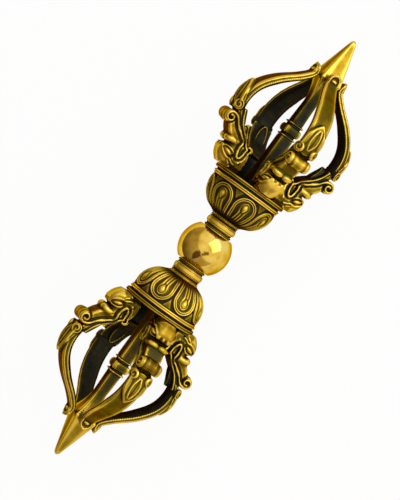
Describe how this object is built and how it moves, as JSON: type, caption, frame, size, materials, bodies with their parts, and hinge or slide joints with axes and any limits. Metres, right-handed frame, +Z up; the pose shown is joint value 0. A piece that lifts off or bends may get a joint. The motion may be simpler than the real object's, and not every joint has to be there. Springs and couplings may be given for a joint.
{
  "type": "dorje vajra",
  "caption": "Five-pronged ritual vajra in antiqued brass: a polished ball between lotus cups, with makara-headed prongs closing round a square centre prong at each end.",
  "frame": {"origin": "on the table, straight below the centre of the ball", "axes": "+X along the vajra's axis towards its upper end, the end at the top right of the picture; +Z up from the table; +Y to the back"},
  "size_m": [0.1524, 0.0362, 0.0352],
  "materials": {
    "polished_brass": "polished",
    "antique_brass": "antiqued, high places polished back",
    "stud_brass": "as drawn"
  },
  "bodies": {
    "root": {"core_stud": "stud_brass", "hub_ball": "polished_brass", "upper_ball_ring": "antique_brass", "upper_band_ring": "polished_brass", "upper_cup_ring": "antique_brass", "upper_lotus_cup": "antique_brass", "upper_prong_seat": "antique_brass", "upper_centre_prong": "antique_brass", "lower_ball_ring": "antique_brass", "lower_band_ring": "polished_brass", "lower_cup_ring": "antique_brass", "lower_lotus_cup": "antique_brass", "lower_prong_seat": "antique_brass", "lower_centre_prong": "antique_brass", "upper_prong_back_bottom": "antique_brass", "upper_prong_back_top": "antique_brass", "upper_prong_front_top": "antique_brass", "upper_prong_front_bottom": "antique_brass", "lower_prong_back_bottom": "antique_brass", "lower_prong_back_top": "antique_brass", "lower_prong_front_top": "antique_brass", "lower_prong_front_bottom": "antique_brass"}
  },
  "joints": []
}
